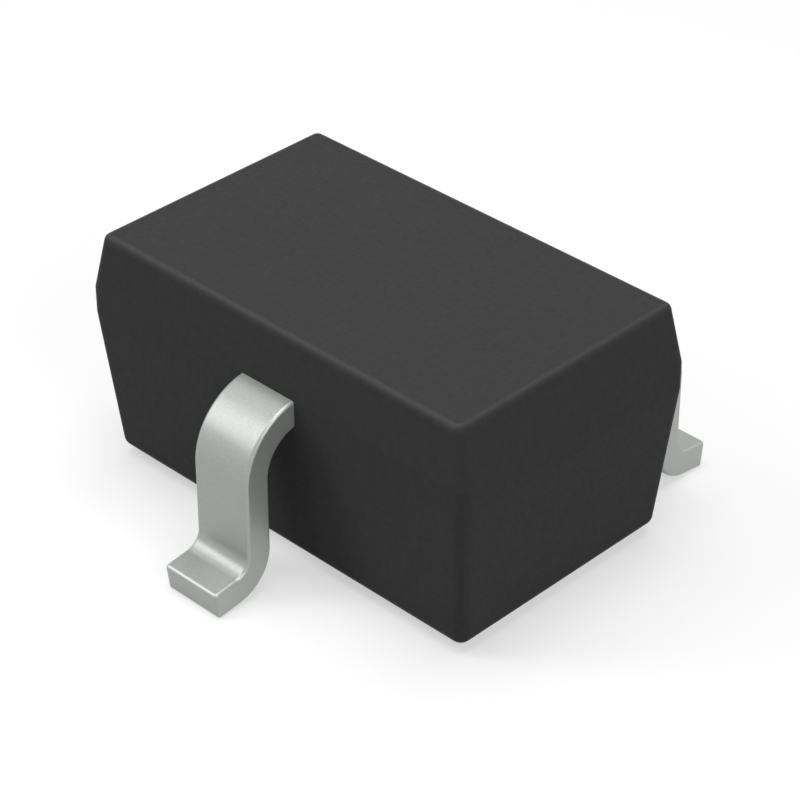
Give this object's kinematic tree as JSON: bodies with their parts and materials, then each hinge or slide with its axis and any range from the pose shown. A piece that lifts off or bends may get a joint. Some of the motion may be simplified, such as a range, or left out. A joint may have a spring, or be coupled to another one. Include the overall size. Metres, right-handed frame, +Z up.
{
  "type": "rectifier diode",
  "caption": "Surface-mount rectifier diode: black moulded body with gull-wing leads on both long sides, silicon chip and bond wire inside.",
  "frame": {"origin": "middle of the part in plan, on the board surface under the lead feet", "axes": "+Z up from the board, +X along the body, +Y across it, with the single cathode lead pointing to -Y"},
  "size_m": [0.002, 0.002, 0.001],
  "materials": {
    "moulding_epoxy": "fine matt moulded epoxy, near black",
    "tin_plating": "satin matt tin plating over a stamped strip",
    "silicon": "polished dark silicon",
    "solder": "dull solder",
    "aluminium_contact": "bright sputtered aluminium",
    "gold_wire": "bright drawn gold"
  },
  "bodies": {
    "root": {"moulded_body": "moulding_epoxy", "cathode_lead": "tin_plating", "anode_lead": "tin_plating", "spare_lead": "tin_plating", "silicon_chip": "silicon", "chip_solder": "solder", "anode_contact": "aluminium_contact", "bond_wire": "gold_wire"}
  },
  "joints": []
}
